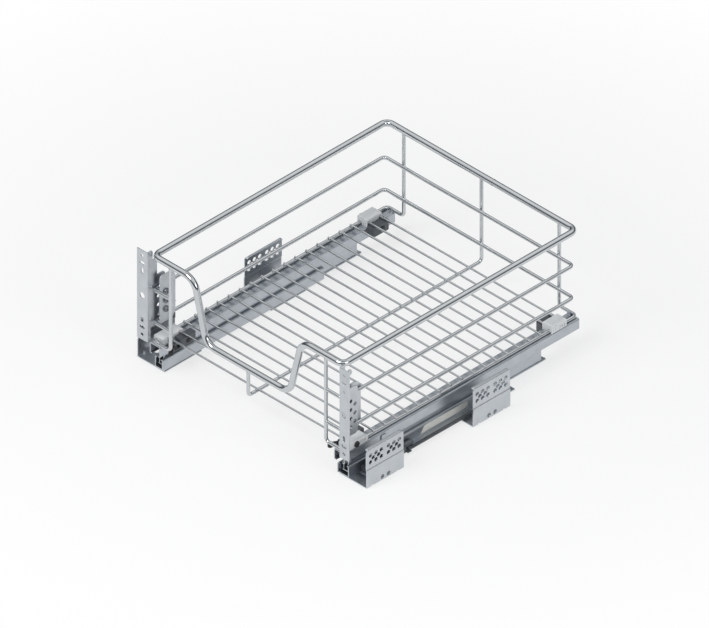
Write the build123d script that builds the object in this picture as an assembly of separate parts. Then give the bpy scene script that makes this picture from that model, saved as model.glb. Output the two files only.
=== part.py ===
from build123d import *
from math import sqrt
import os

# Pull-out wire basket on a pair of soft-closing full-extension slides, shown closed.
# X runs to the right, Y to the back of the cabinet and Z up, all in millimetres.
# While the pieces are modelled, Y is measured from the front run of the rim.
# Each piece is then moved, so that the origin lies under the middle of the whole.

# Wirework of the basket, between centre lines
rim_half_width = 170.2
rim_depth = 420.3
rim_height = 179.0
rim_diameter = 9.2
rim_corner_radius = 10.0
wire_diameter = 5.0
wire_bend_radius = 6.0
floor_wire_diameter = 3.0
floor_wire_count = 20
floor_wire_pitch = 20.0
first_floor_wire = 15.0
floor_wire_half_length = 171.0
weld_depth = 0.3
floor_level = 46.0
side_wire_levels = {"upper": 126.3, "lower": 76.0}
post_half_spacing = 140.0

# Finger dip in the front of the rim
dip_top_half_width = 97.0
dip_bottom_half_width = 75.0
dip_depth = 91.0
dip_corner_radius = 21.0
rim_seam_offset = 21.7
rim_seam_gap = 0.4
rim_seam_width = 1.2
rim_seam_swelling = 0.25

# Folded steel sheet, and the places of the slides
sheet_thickness = 1.5
sheet_bend_radius = 1.25
slide_centre = 166.0
cabinet_inner_width = 414.0
running_gap = 0.2
cage_side_gap = 0.35
cage_neck_gap = 0.3

# Rail fixed to the cabinet
cabinet_rail_front = 6.5
inner_wall_front = 3.2
inner_wall_foot = 4.0
cabinet_rail_back = 294.0
cabinet_rail_half_width = 8.75
cabinet_rail_top = 20.0
outer_wall_drop = 1.4
rail_lip = 3.55
flange_edge = 186.3
flange_front = 26.0
window_front = 134.0
window_back = 223.0
window_slant = 9.0
window_foot = 4.0
window_head_gap = 2.1
window_end_radius = 5.6

# Middle rail
middle_rail_front = 10.0
middle_rail_back = 357.0
middle_foot_back = 364.0
middle_foot_top = 8.5
neck_half_width = 4.75
lower_flange_half_width = 6.0
upper_flange_half_width = 6.7
middle_rail_bottom = 6.2
middle_rail_top = 37.5

# Rail under the basket
basket_rail_front = -2.0
basket_rail_back = 421.0
basket_rail_half_width = 9.5
basket_rail_bottom = 27.0
basket_rail_top = 43.5
basket_rail_lip = 3.9

# Roller cages
lower_cage_front = 110.0
lower_cage_back = 255.0
upper_cage_front = 120.0
upper_cage_back = 315.0
cage_wall = 0.75
cage_plate = 1.6
rollers_in_cage = 5
roller_pitch = 7.0
first_roller = 6.0
roller_pocket_gap = 0.15
guide_pad_length = 20.0

# Brackets that hold the slides to the cabinet sides
bracket_length = 66.6
bracket_fronts = {"front": 6.9, "rear": 198.7}
bracket_height = 59.0
bracket_crease = 28.5
bracket_joggle = 0.8
bracket_lip = 4.5
bracket_bend_radius = 1.2
bracket_corner_radius = 5.0
screw_hole_diameter = 6.4
screw_hole_pitch = 9.6
screw_hole_row_pitch = 10.6
screw_cluster_pitch = 32.0
first_cluster = 17.3
cluster_middle_height = 43.0
base_hole_diameter = 6.5
base_hole_level = 5.8
base_hole_offsets = (28.0, 39.0)
dart_offsets = (10.8, 56.1)
dart_height = 4.8
dart_half_width = 3.5
foot_slot_length = 24.0
foot_slot_width = 7.0
foot_slot_place = 196.0
rivet_diameter = 5.0
rivet_offsets = (14.0, 52.0)

# Brackets that carry the cabinet door
door_strip_front = -9.5
door_strip_inner = rim_half_width + wire_diameter / 2
door_strip_outer = 191.0
door_bracket_levels = {"right": 111.7, "left": 116.9}
door_strip_half_height = 69.5
door_return_back = -3.2
door_web_foot = -50.0
door_web_back = 8.5
door_web_head = 54.0
door_neck_back = 0.5
door_neck_radius = 3.3
door_ear_back = 23.0
door_ear_foot = -46.5
door_ear_head = 27.5
door_ear_radius = 5.0
door_lobe_level = 52.5
door_lobe_diameter = 9.0
door_lobe_hole = 4.0
door_neck_hole = (-2.8, 66.4)
door_neck_hole_diameter = 2.6
round_hole_offset = 61.5
level_slot_offset = 50.0
upright_slot_offset = 38.0
strip_hole_diameter = 5.0
strip_slot_length = 9.0
strip_slot_width = 4.6
access_hole_diameter = 9.0
access_hole_offset = -0.8
clamp_screw_level = -13.6
clamp_screw_pitch = 13.6
clamp_screw_depth = 18.0
clamp_spare_depth = 11.0
clamp_hole_diameter = 5.6
clamp_screw_diameter = 5.0
clamp_head_diameter = 9.0
clamp_head_height = 3.2
clamp_head_rounding = 1.3
clamp_plate_front = 7.0
clamp_plate_back = 35.0
clamp_plate_radius = 12.0
clamp_plate_small_radius = 4.0

# Plastic clips between the wirework and the rails
clip_inner = 158.0
clip_outer = 175.0
clip_clearance = 0.1
front_clip_span = (5.0, 41.0)
rear_clip_span = (371.5, 398.5)
front_clip_top = 52.5
rear_clip_top = 55.5
clip_edge_radius = 2.5
clip_groove_width = 2.0
clip_groove_depth = 1.2
clip_groove_height = 5.0
front_clip_grooves = (27.5, 31.5, 35.5)
rear_clip_grooves = (386.5, 390.5, 394.5)
clip_groove_level = 47.6
rear_boss_place = (378.0, 49.7)
rear_boss_diameter = 8.0
rear_boss_height = 1.2
rear_boss_recess = 3.4
adjuster_housing_inner = 145.0
adjuster_housing_bottom = 34.0
adjuster_housing_top = 47.8
adjuster_housing_length = 28.0
adjuster_wheel_diameter = 12.0
adjuster_wheel_thickness = 5.0
adjuster_wheel_axis = 149.6
adjuster_wheel_level = 41.5
adjuster_axle_diameter = 3.0
adjuster_axle_length = 11.0
adjuster_bore_length = 12.0
adjuster_wheel_gap = 0.4
adjuster_notches = 12
adjuster_notch_radius = 0.8
adjuster_edge_radius = 3.0
front_adjuster_place = 38.0
rear_adjuster_place = 386.0
side_wheel_diameter = 8.4
side_wheel_thickness = 2.4
side_wheel_place = (20.0, 48.0)
side_wheel_axle = 2.4
side_wheel_axle_length = 3.2
side_wheel_edge_radius = 0.8
lever_pivot = (151.0, 18.0)
lever_tip = (143.5, 4.0)
lever_thickness = 6.0
lever_level = 39.0
lever_hub_diameter = 7.6
lever_pad_diameter = 6.0
lever_arm_width = 4.0
fork_plate = 1.8
fork_half_width = 4.0
rear_hook_front = 401.0
rear_hook_span = (157.5, 164.0)
rear_hook_top = 50.0

# Soft closing, on the flange of the cabinet rail
closer_axis = (178.8, 6.9)
closer_trough = (27.0, 74.0)
closer_trough_top = 12.0
closer_half_width = 3.7
trough_wall = 1.2
trough_end = 1.5
trough_cover = 1.6
trough_slot_half_width = 1.6
trough_slot_front = 30.0
closer_edge_radius = 1.2
shoulder_overlap = 0.2
shoulder_corner_radius = 2.0
shoulder_edge = 188.0
shoulder_back = 98.0
shoulder_top = 13.0
shoulder_grooves = (76.0, 80.5, 85.0, 89.5)
shoulder_groove_width = 1.6
shoulder_groove_depth = 0.9
damper_back = 116.0
damper_diameter = 7.4
damper_gap = 0.3
damper_rod_diameter = 2.0
damper_rod_length = 36.0
rod_gap = 0.3
catch_cover_gap = 0.3
catch_length = 8.0
catch_half_width = 2.3
catch_half_height = 2.2
catch_back = 71.5
catch_peg_half_width = 1.2
catch_peg_front = 1.5
catch_peg_length = 4.0
catch_peg_top = 14.0
activator_clearance = 0.5
activator_drop = 4.0
activator_reach = 2.0
activator_bend_radius = 1.0

# Tension spring beside the damper
spring_axis = (187.3, 5.8)
spring_front = 105.0
spring_length = 110.0
spring_diameter = 5.0
spring_wire = 0.9
hook_offset = 1.25
hook_bend = 1.9
hook_root = 0.5
hook_shank = 2.5
hook_tip = 0.6
hook_slack = 0.23
post_diameter = 2.4
post_head_diameter = 3.6
post_head_height = 0.8
post_seat_half_width = 3.0
post_seat_top = 4.5

floor_wire_level = floor_level + (wire_diameter + floor_wire_diameter) / 2 - weld_depth
rim_front_reach = door_strip_front
rim_back_reach = rim_depth + rim_diameter / 2 + rim_seam_swelling
footprint_middle = (rim_front_reach + rim_back_reach) / 2


def save(name, shape):
    """Write one piece, moved so that the origin is under the middle of the whole."""
    export_step(Pos(0, -footprint_middle, 0) * shape, f"parts/{name}.step")


def save_pair(name, right_shape):
    """Write a piece of the right side and its mirror image on the left."""
    save(f"{name}_right", right_shape)
    save(f"{name}_left", mirror(right_shape, about=Plane.YZ))


def wire_along(path, diameter):
    """Round wire whose middle line is the path."""
    section = Plane(origin=path @ 0, z_dir=path % 0) * Circle(diameter / 2)
    return sweep(section, path=path)


def round_wire(points, bends, diameter):
    """Round wire along straight runs that are joined by bends."""
    return wire_along(FilletPolyline(*points, radius=bends), diameter)


def block(x_span, y_span, z_span):
    """Plain block between two values on each axis."""
    size = [high - low for low, high in (x_span, y_span, z_span)]
    middle = [(high + low) / 2 for low, high in (x_span, y_span, z_span)]
    return Pos(*middle) * Box(*size)


def peg(centre, diameter, length, direction):
    """Round bar of the given length, centred on a point."""
    return Plane(origin=centre, z_dir=direction) * Cylinder(diameter / 2, length)


def along_y(section, front, back):
    """Section drawn in X and Z, pulled from the front to the back."""
    return Pos(0, back, 0) * extrude(Plane.XZ * section, amount=back - front)


def across_x(outline, inner, outer):
    """Outline drawn in Y and Z, pulled from one X to another."""
    return Pos(inner, 0, 0) * extrude(Plane.YZ * outline, amount=outer - inner)


def folded(points, bend=sheet_bend_radius, thickness=sheet_thickness):
    """Section of a folded sheet along its middle line."""
    return trace(FilletPolyline(*points, radius=bend), line_width=thickness)


def rim():
    """Round rim with a dip in the front and a slightly swollen weld at the back."""
    half = rim_half_width
    dip = rim_height - dip_depth
    points = [
        (rim_seam_offset + rim_seam_gap / 2, rim_depth, rim_height),
        (half, rim_depth, rim_height),
        (half, 0, rim_height),
        (dip_top_half_width, 0, rim_height),
        (dip_bottom_half_width, 0, dip),
        (-dip_bottom_half_width, 0, dip),
        (-dip_top_half_width, 0, rim_height),
        (-half, 0, rim_height),
        (-half, rim_depth, rim_height),
        (rim_seam_offset - rim_seam_gap / 2, rim_depth, rim_height),
    ]
    corner = rim_corner_radius
    dip_bend = dip_corner_radius
    bends = [corner, corner, dip_bend, dip_bend, dip_bend, dip_bend, corner, corner]
    ring = round_wire(points, bends, rim_diameter)
    seam_place = (rim_seam_offset, rim_depth, rim_height)
    seam = peg(seam_place, rim_diameter + 2 * rim_seam_swelling, rim_seam_width, (1, 0, 0))
    return ring + seam


def side_hoop():
    """Right hoop: front post, run under the floor along the side, and rear post."""
    outer = rim_half_width
    inner = post_half_spacing
    points = [
        (inner, 0, rim_height),
        (inner, 0, floor_level),
        (outer, 0, floor_level),
        (outer, rim_depth, floor_level),
        (inner, rim_depth, floor_level),
        (inner, rim_depth, rim_height),
    ]
    return round_wire(points, [wire_bend_radius] * 4, wire_diameter)


def centre_wire():
    """Middle wire, from the bottom of the dip under the floor and up the back."""
    points = [
        (0, 0, rim_height - dip_depth),
        (0, 0, floor_level),
        (0, rim_depth, floor_level),
        (0, rim_depth, rim_height),
    ]
    return round_wire(points, [wire_bend_radius] * 2, wire_diameter)


def side_wire(level):
    """Wire round the sides and the back, whose ends butt against the front posts."""
    outer = rim_half_width
    inner = post_half_spacing
    back = rim_depth - wire_diameter
    points = [
        (inner, 0, level),
        (outer, 0, level),
        (outer, back, level),
        (-outer, back, level),
        (-outer, 0, level),
        (-inner, 0, level),
    ]
    return round_wire(points, [wire_bend_radius] * 4, wire_diameter)


def floor_wire(number):
    """One of the thin wires across the floor, on top of the hoops."""
    place = first_floor_wire + number * floor_wire_pitch
    middle = (0, place, floor_wire_level)
    return peg(middle, floor_wire_diameter, 2 * floor_wire_half_length, (1, 0, 0))


def wirework():
    """All the wires of the basket, with their ends fitted to what they meet."""
    top = rim()
    right_hoop = side_hoop() - top
    left_hoop = mirror(right_hoop, about=Plane.YZ)
    save("rim", top)
    save("side_hoop_right", right_hoop)
    save("side_hoop_left", left_hoop)
    middle_wire = centre_wire() - top
    save("centre_wire", middle_wire)
    for name, level in side_wire_levels.items():
        save(f"{name}_side_wire", side_wire(level) - right_hoop - left_hoop)
    crossed = [left_hoop, middle_wire, right_hoop]
    floor = [floor_wire(number) - crossed for number in range(floor_wire_count)]
    save("floor_wires", Compound(children=floor))


def cabinet_rail():
    """Channel with inturned lips, a damper flange outside and a window in its wall."""
    half = sheet_thickness / 2
    inner = slide_centre - cabinet_rail_half_width + half
    outer = slide_centre + cabinet_rail_half_width - half
    base = sheet_thickness + half
    inner_top = cabinet_rail_top - half
    outer_top = inner_top - outer_wall_drop
    inner_wall = folded([
        (inner + rail_lip - half, inner_top),
        (inner, inner_top),
        (inner, base),
        (flange_edge, base),
    ])
    outer_wall = folded([
        (outer, base),
        (outer, outer_top),
        (outer - rail_lip + half, outer_top),
    ])
    rail = along_y(inner_wall + outer_wall, cabinet_rail_front, cabinet_rail_back)
    front_wall = folded([
        (inner + rail_lip - half, inner_top),
        (inner, inner_top),
        (inner, inner_wall_foot),
    ])
    rail += along_y(front_wall, inner_wall_front, cabinet_rail_front)
    wall_face = outer + half
    rail -= block((wall_face, flange_edge + 1), (cabinet_rail_front - 1, flange_front), (0, 2 * base))
    head = outer_top - window_head_gap
    window = Polygon(
        (window_front, window_foot),
        (window_back, window_foot),
        (window_back, head),
        (window_front + window_slant, head),
        align=None,
    )
    back_corners = window.vertices().sort_by(Axis.X)[-2:]
    round_end = fillet(back_corners, window_end_radius)
    rail -= across_x(round_end, outer - sheet_thickness, outer + sheet_thickness)
    post_x, post_y = spring_post_place(1)
    reach = post_seat_half_width
    seat = (sheet_thickness, 2 * sheet_thickness)
    rail += block((flange_edge - 2, post_x + reach), (post_y - reach, post_y + reach), seat)
    rail += spring_post(1, 2 * sheet_thickness)
    return rail - rivet_bodies()


def middle_rail():
    """Closed box section with a flange below and a flange above."""
    half = sheet_thickness / 2
    bottom = middle_rail_bottom
    top = middle_rail_top
    box = Pos(slide_centre, (bottom + top) / 2) * Rectangle(2 * neck_half_width, top - bottom)
    foot = Pos(slide_centre, bottom + half)
    foot *= Rectangle(2 * lower_flange_half_width, sheet_thickness)
    head = Pos(slide_centre, top - half)
    head *= Rectangle(2 * upper_flange_half_width, sheet_thickness)
    hollow = Pos(slide_centre, (bottom + top) / 2)
    hollow *= Rectangle(
        2 * (neck_half_width - sheet_thickness), top - bottom - 2 * sheet_thickness
    )
    rail = along_y(box + foot + head - hollow, middle_rail_front, middle_foot_back)
    upper = (middle_foot_top, top + 1)
    across = (slide_centre - upper_flange_half_width - 1, slide_centre + upper_flange_half_width + 1)
    return rail - block(across, (middle_rail_back, middle_foot_back + 1), upper)


def basket_rail():
    """Inverted channel with inturned lips, under the side hoop."""
    half = sheet_thickness / 2
    inner = slide_centre - basket_rail_half_width + half
    outer = slide_centre + basket_rail_half_width - half
    bottom = basket_rail_bottom + half
    top = basket_rail_top - half
    section = folded([
        (inner + basket_rail_lip - half, bottom),
        (inner, bottom),
        (inner, top),
        (outer, top),
        (outer, bottom),
        (outer - basket_rail_lip + half, bottom),
    ])
    return along_y(section, basket_rail_front, basket_rail_back)


def roller_places(front, back):
    """Rollers in two groups, one at each end of a cage."""
    steps = [first_roller + roller_pitch * number for number in range(rollers_in_cage)]
    return [front + step for step in steps] + [back - step for step in steps]


def roller_cage(span, plate_level, pad_levels, half_width, roller_diameter, roller_length):
    """Plastic cage: a plate with roller pockets, two walls and guide pads."""
    front, back = span
    low, high = sorted(pad_levels)
    plate_low = plate_level - cage_plate / 2
    plate_high = plate_level + cage_plate / 2
    wall_low = min(low, plate_low)
    wall_high = max(high, plate_high)
    left = slide_centre - half_width
    right = slide_centre + half_width
    cage = block((left, right), span, (plate_low, plate_high))
    pad_inner = neck_half_width + cage_neck_gap
    last_pad = back - guide_pad_length
    for side in (-1, 1):
        outside = slide_centre + side * half_width
        wall = sorted((outside - side * cage_wall, outside))
        pad = sorted((slide_centre + side * pad_inner, outside))
        cage += block(wall, span, (wall_low, wall_high))
        for pad_front in (front, (front + last_pad) / 2, last_pad):
            cage += block(pad, (pad_front, pad_front + guide_pad_length), (low, high))
    pocket = roller_diameter / 2 + roller_pocket_gap
    reach = roller_length / 2 + roller_pocket_gap
    for place in roller_places(front, back):
        cage -= block(
            (slide_centre - reach, slide_centre + reach),
            (place - pocket, place + pocket),
            (plate_low - 1, plate_high + 1),
        )
    return cage


def rollers(span, level, diameter, length):
    """Steel needle rollers of one cage."""
    pins = [
        peg((slide_centre, place, level), diameter, length, (1, 0, 0))
        for place in roller_places(*span)
    ]
    return Compound(children=pins)


def slides():
    """Both slides, with the roller cages that run between their rails."""
    save_pair("cabinet_rail", cabinet_rail())
    save_pair("middle_rail", middle_rail())
    save_pair("basket_rail", basket_rail())

    lower_span = (lower_cage_front, lower_cage_back)
    lower_floor = 2 * sheet_thickness
    lower_level = (lower_floor + middle_rail_bottom) / 2
    lower_diameter = middle_rail_bottom - lower_floor - 2 * running_gap
    lower_half = cabinet_rail_half_width - sheet_thickness - cage_side_gap
    lower_pads = (
        middle_rail_bottom + sheet_thickness + running_gap,
        cabinet_rail_top - outer_wall_drop - sheet_thickness - running_gap,
    )
    lower_length = 2 * lower_flange_half_width - 2
    save_pair("lower_cage", roller_cage(
        lower_span, lower_level, lower_pads, lower_half, lower_diameter, lower_length
    ))
    save_pair("lower_rollers", rollers(lower_span, lower_level, lower_diameter, lower_length))

    upper_span = (upper_cage_front, upper_cage_back)
    upper_ceiling = basket_rail_top - sheet_thickness
    upper_level = (upper_ceiling + middle_rail_top) / 2
    upper_diameter = upper_ceiling - middle_rail_top - 2 * running_gap
    upper_half = basket_rail_half_width - sheet_thickness - cage_side_gap
    upper_pads = (
        basket_rail_bottom + sheet_thickness + running_gap,
        middle_rail_top - sheet_thickness - running_gap,
    )
    upper_length = 2 * upper_flange_half_width - 2
    save_pair("upper_cage", roller_cage(
        upper_span, upper_level, upper_pads, upper_half, upper_diameter, upper_length
    ))
    save_pair("upper_rollers", rollers(upper_span, upper_level, upper_diameter, upper_length))


def screw_cluster():
    """Group of overlapping screw holes that lets the bracket be set by degrees."""
    grid = GridLocations(screw_hole_pitch, screw_hole_row_pitch, 3, 2)
    between = GridLocations(screw_hole_pitch, 0, 2, 1)
    hole = Circle(screw_hole_diameter / 2)
    return [place * hole for place in grid] + [place * hole for place in between]


def dart_wedge(place, depth):
    """Three-sided wedge across the bend of a bracket, set in from its outer corner."""
    face = cabinet_inner_width / 2
    along = Vector(1, 0, 1).normalized()
    outward = Vector(1, 0, -1).normalized()
    origin = Vector(face - dart_height / 2, place, dart_height / 2) - outward * depth
    reach = dart_height * sqrt(2)
    spread = 2 * dart_half_width
    triangle = Polygon((0, 0), (reach, -spread), (reach, spread), align=None)
    section = Plane(origin=origin, x_dir=outward, z_dir=along) * triangle
    return extrude(section, amount=reach, both=True)


def cabinet_bracket(front):
    """Angle bracket: foot under the rail, and a pierced plate on the cabinet side."""
    half = sheet_thickness / 2
    face = cabinet_inner_width / 2 - half
    upper_face = face - bracket_joggle
    inner = slide_centre - cabinet_rail_half_width
    section = folded([
        (inner, half),
        (face, half),
        (face, bracket_crease - bracket_joggle),
        (upper_face, bracket_crease),
        (upper_face, bracket_height - half),
        (upper_face - bracket_lip + half, bracket_height - half),
    ], bend=bracket_bend_radius)
    back = front + bracket_length
    bracket = along_y(section, front, back)
    outline = Polygon(
        (front, 0), (back, 0), (back, bracket_height), (front, bracket_height), align=None
    )
    upper_corners = outline.vertices().group_by(Axis.Y)[-1]
    outline = fillet(upper_corners, bracket_corner_radius)
    bracket &= across_x(outline, inner - 1, face + sheet_thickness)
    for cluster in (0, 1):
        place = front + first_cluster + cluster * screw_cluster_pitch
        for hole in screw_cluster():
            cut = Pos(place, cluster_middle_height) * hole
            bracket -= across_x(cut, upper_face - 2, upper_face + 2)
    for offset in base_hole_offsets:
        hole = Pos(front + offset, base_hole_level) * Circle(base_hole_diameter / 2)
        bracket -= across_x(hole, face - 2, face + 2)
    corner = (face - half - 2 * dart_height, face)
    rib_height = (half, 2 * dart_height)
    for offset in dart_offsets:
        place = front + offset
        beside = (place - 2 * dart_half_width, place + 2 * dart_half_width)
        bracket += dart_wedge(place, sheet_thickness) & block(corner, beside, rib_height)
        bracket -= dart_wedge(place, 0)
    slot = SlotOverall(foot_slot_length, foot_slot_width, rotation=90)
    slot = Pos(foot_slot_place, front + bracket_length / 2) * slot
    return bracket - extrude(slot, amount=sheet_thickness) - rivet_bodies()


def rivet_bodies():
    """Flush rivets that join the feet of both brackets to the floor of the rail."""
    places = [front + offset for front in bracket_fronts.values() for offset in rivet_offsets]
    length = 2 * sheet_thickness
    middle = length / 2
    return [peg((slide_centre, place, middle), rivet_diameter, length, (0, 0, 1)) for place in places]


def panel(front, back, foot, head):
    """Rectangle in Y and Z between four limits."""
    return Polygon((front, foot), (back, foot), (back, head), (front, head), align=None)


def clamp_holes(depth, rows):
    """Column of holes that clamp screws can pass through."""
    hole = Circle(clamp_hole_diameter / 2)
    return [Pos(depth, clamp_screw_level + row * clamp_screw_pitch) * hole for row in rows]


def door_bracket():
    """Angle strip with slots for the door screws, and an ear that grips the wires."""
    half = sheet_thickness / 2
    height = door_strip_half_height
    section = folded([
        (door_strip_inner + half, door_ear_back),
        (door_strip_inner + half, door_strip_front + half),
        (door_strip_outer, door_strip_front + half),
    ])
    bracket = Pos(0, 0, -height) * extrude(section, amount=2 * height)
    front = door_strip_front - 1
    return_flange = panel(front, door_return_back, -height, height)
    neck = panel(front, door_neck_back, door_web_head, height)
    web = panel(front, door_web_back, door_web_foot, door_web_head)
    ear = panel(front, door_ear_back, door_ear_foot, door_ear_head)
    ear = fillet(ear.vertices().group_by(Axis.X)[-1], door_ear_radius)
    neck_corner = neck.vertices().group_by(Axis.X)[-1].sort_by(Axis.Y)[-1]
    neck = fillet(neck_corner, door_neck_radius)
    lobe = Pos(door_web_back, door_lobe_level) * Circle(door_lobe_diameter / 2)
    outline = return_flange + neck + web + ear + lobe
    outline -= Pos(door_web_back, door_lobe_level) * Circle(door_lobe_hole / 2)
    outline -= Pos(*door_neck_hole) * Circle(door_neck_hole_diameter / 2)
    outline -= clamp_holes(clamp_screw_depth, (-1, 0, 1))
    outline -= clamp_holes(clamp_spare_depth, (-1.5, -0.5, 0.5, 1.5))
    wall = door_strip_inner + sheet_thickness
    side = across_x(outline, door_strip_inner - 1, wall)
    strip = block((wall, door_strip_outer + 1), (front, 0), (-height, height))
    bracket &= side + strip
    middle = (door_strip_inner + door_strip_outer) / 2
    cuts = [Pos(middle, access_hole_offset) * Circle(access_hole_diameter / 2)]
    level_slot = SlotOverall(strip_slot_length, strip_slot_width)
    upright_slot = SlotOverall(strip_slot_length, strip_slot_width, rotation=90)
    for end in (-1, 1):
        cuts.append(Pos(middle, end * round_hole_offset) * Circle(strip_hole_diameter / 2))
        cuts.append(Pos(middle, end * level_slot_offset) * level_slot)
        cuts.append(Pos(middle, end * upright_slot_offset) * upright_slot)
    for cut in cuts:
        bracket -= along_y(cut, front, door_strip_front + sheet_thickness + 1)
    return bracket


def clamp_plate():
    """Plate inside the wires that the screws draw against the door bracket."""
    outer = rim_half_width - wire_diameter / 2
    inner = outer - sheet_thickness
    outline = panel(clamp_plate_front, clamp_plate_back, door_ear_foot, door_ear_head)
    outline = fillet(outline.vertices().group_by(Axis.X)[-1], clamp_plate_radius)
    outline = fillet(outline.vertices().group_by(Axis.X)[0], clamp_plate_small_radius)
    outline -= clamp_holes(clamp_screw_depth, (-1, 0, 1))
    return across_x(outline, inner, outer)


def clamp_screws():
    """Three pan-head screws between the side wires."""
    inner = rim_half_width - wire_diameter / 2 - sheet_thickness
    outer = door_strip_inner + sheet_thickness
    middle = (inner + outer) / 2
    sideways = (1, 0, 0)
    screws = []
    for row in (-1, 0, 1):
        level = clamp_screw_level + row * clamp_screw_pitch
        head_place = (inner - clamp_head_height / 2, clamp_screw_depth, level)
        head = peg(head_place, clamp_head_diameter, clamp_head_height, sideways)
        head = fillet(head.edges().group_by(Axis.X)[0], clamp_head_rounding)
        shank_place = (middle, clamp_screw_depth, level)
        screws.append(head + peg(shank_place, clamp_screw_diameter, outer - inner, sideways))
    return Compound(children=screws)


def door_fixings():
    """Door brackets with their clamps; the left one is set a little higher."""
    for side, level in door_bracket_levels.items():
        pieces = {
            "door_bracket": door_bracket(),
            "clamp_plate": clamp_plate(),
            "clamp_screws": clamp_screws(),
        }
        for name, piece in pieces.items():
            raised = Pos(0, 0, level) * piece
            if side == "left":
                raised = mirror(raised, about=Plane.YZ)
            save(f"{name}_{side}", raised)


def wire_clip(span, top, grooves):
    """Moulded saddle over the hoop, grooved outside, with a slot for each floor wire."""
    front, back = span
    body = block((clip_inner, clip_outer), span, (basket_rail_top, top))
    body = fillet(body.edges().group_by(Axis.Z)[-1], clip_edge_radius)
    hoop_half = wire_diameter / 2 + clip_clearance
    hoop_sides = (rim_half_width - hoop_half, rim_half_width + hoop_half)
    body -= block(hoop_sides, (front - 1, back + 1), (basket_rail_top - 1, floor_level))
    middle = (rim_half_width, (front + back) / 2, floor_level)
    body -= peg(middle, 2 * hoop_half, back - front + 2, (0, 1, 0))
    wire_half = floor_wire_diameter / 2 + clip_clearance
    for number in range(floor_wire_count):
        place = first_floor_wire + number * floor_wire_pitch
        if front < place < back:
            body -= block(
                (clip_inner - 1, floor_wire_half_length + running_gap),
                (place - wire_half, place + wire_half),
                (basket_rail_top - 1, floor_wire_level + wire_half),
            )
    half_width = clip_groove_width / 2
    half_height = clip_groove_height / 2
    for place in grooves:
        body -= block(
            (clip_outer - clip_groove_depth, clip_outer + 1),
            (place - half_width, place + half_width),
            (clip_groove_level - half_height, clip_groove_level + half_height),
        )
    return body


def rear_boss():
    """Round boss with a recess, on the outside of the rear clip."""
    middle = (clip_outer + rear_boss_height / 2, *rear_boss_place)
    boss = peg(middle, rear_boss_diameter, rear_boss_height, (1, 0, 0))
    return boss - peg(middle, rear_boss_recess, rear_boss_height, (1, 0, 0))


def adjuster_housing(place, forked):
    """Dark block on the inner wall of the rail that holds the adjusting wheel."""
    outer = slide_centre - basket_rail_half_width
    front = place - adjuster_housing_length / 2
    back = place + adjuster_housing_length / 2
    upright = (0, 0, 1)
    bore = adjuster_axle_diameter + 2 * running_gap
    body = block(
        (adjuster_housing_inner, outer), (front, back), (adjuster_housing_bottom, adjuster_housing_top)
    )
    inner_edges = body.edges().filter_by(Axis.Z).group_by(Axis.X)[0]
    body = fillet(inner_edges, adjuster_edge_radius)
    wheel = (adjuster_wheel_axis, place, adjuster_wheel_level)
    slot = adjuster_wheel_thickness + 2 * running_gap
    body -= peg(wheel, adjuster_wheel_diameter + 2 * adjuster_wheel_gap, slot, upright)
    body -= peg(wheel, bore, adjuster_bore_length, upright)
    if forked:
        pivot_x, pivot_y = lever_pivot
        gap = lever_thickness / 2 + running_gap
        reach = fork_half_width
        for low in (lever_level - gap - fork_plate, lever_level + gap):
            deep = (pivot_y - reach, front + reach)
            body += block((pivot_x - reach, outer), deep, (low, low + fork_plate))
        through = 2 * (gap + fork_plate + 1)
        body -= peg((pivot_x, pivot_y, lever_level), bore, through, upright)
    return body


def adjuster_wheel(place):
    """Thumb wheel with a notched rim and its axle."""
    centre = (adjuster_wheel_axis, place, adjuster_wheel_level)
    upright = (0, 0, 1)
    wheel = peg(centre, adjuster_wheel_diameter, adjuster_wheel_thickness, upright)
    for spot in PolarLocations(adjuster_wheel_diameter / 2 + running_gap, adjuster_notches):
        wheel -= Pos(*centre) * spot * Cylinder(adjuster_notch_radius, adjuster_wheel_thickness)
    return wheel + peg(centre, adjuster_axle_diameter, adjuster_axle_length, upright)


def release_lever():
    """Finger lever that frees the basket from the rail, on an upright pivot."""
    pivot = Vector(*lever_pivot, lever_level)
    tip = Vector(*lever_tip, lever_level)
    upright = (0, 0, 1)
    lever = peg(pivot, lever_hub_diameter, lever_thickness, upright)
    lever += peg(tip, lever_pad_diameter, lever_thickness, upright)
    along = Plane(origin=(tip + pivot) / 2, x_dir=tip - pivot, z_dir=upright)
    lever += along * Box((tip - pivot).length, lever_arm_width, lever_thickness)
    return lever + peg(pivot, adjuster_axle_diameter, lever_thickness + 2 * fork_plate, upright)


def rear_hook():
    """Folded lug on the end of the rail, upright before the rear run of the hoop."""
    half = sheet_thickness / 2
    upright = rim_depth - wire_diameter / 2 - clip_clearance - half
    section = folded([
        (rear_hook_front, basket_rail_top + half),
        (upright, basket_rail_top + half),
        (upright, rear_hook_top),
    ])
    return across_x(section, *rear_hook_span)


def side_wheel():
    """Small setting wheel on the outside of the front clip, with its short axle."""
    middle = clip_outer + side_wheel_thickness / 2
    sideways = (1, 0, 0)
    wheel = peg((middle, *side_wheel_place), side_wheel_diameter, side_wheel_thickness, sideways)
    wheel = fillet(wheel.edges().group_by(Axis.X)[-1], side_wheel_edge_radius)
    axle_middle = (clip_outer, *side_wheel_place)
    return wheel + peg(axle_middle, side_wheel_axle, side_wheel_axle_length, sideways)


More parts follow.
